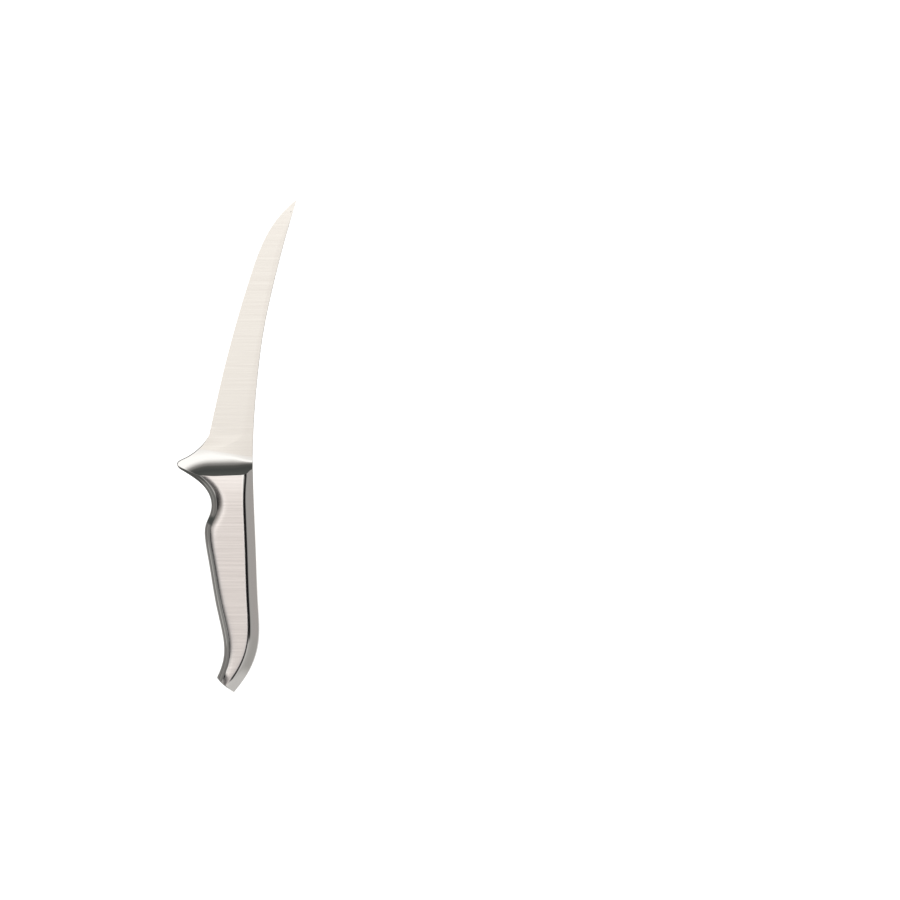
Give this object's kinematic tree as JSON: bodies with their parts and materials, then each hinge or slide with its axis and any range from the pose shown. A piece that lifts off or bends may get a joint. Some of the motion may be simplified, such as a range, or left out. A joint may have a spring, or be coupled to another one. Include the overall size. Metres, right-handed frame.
{
  "type": "boning knife",
  "caption": "Curved boning knife with a flared finger guard, a deep finger notch and a hollow bevelled steel handle with a hooked butt.",
  "frame": {"origin": "centre of the knife's bounding box, on its centre plane", "axes": "+Z from the butt up to the tip, +X towards the spine, -X towards the cutting edge, Y through the thickness"},
  "size_m": [0.0623, 0.0178, 0.2558],
  "materials": {
    "blade_steel": "fine satin",
    "handle_steel": "fine satin with polished edges",
    "weld_steel": "ground flush and satin",
    "sand": "dry loose grains"
  },
  "bodies": {
    "root": {"blade": "blade_steel", "finger_guard": "handle_steel", "collar_weld": "weld_steel", "handle_shell_left": "handle_steel", "handle_shell_right": "handle_steel", "spine_weld": "weld_steel", "belly_weld": "weld_steel", "butt_plate": "handle_steel", "butt_weld": "weld_steel", "balance_sand": "sand"}
  },
  "joints": []
}
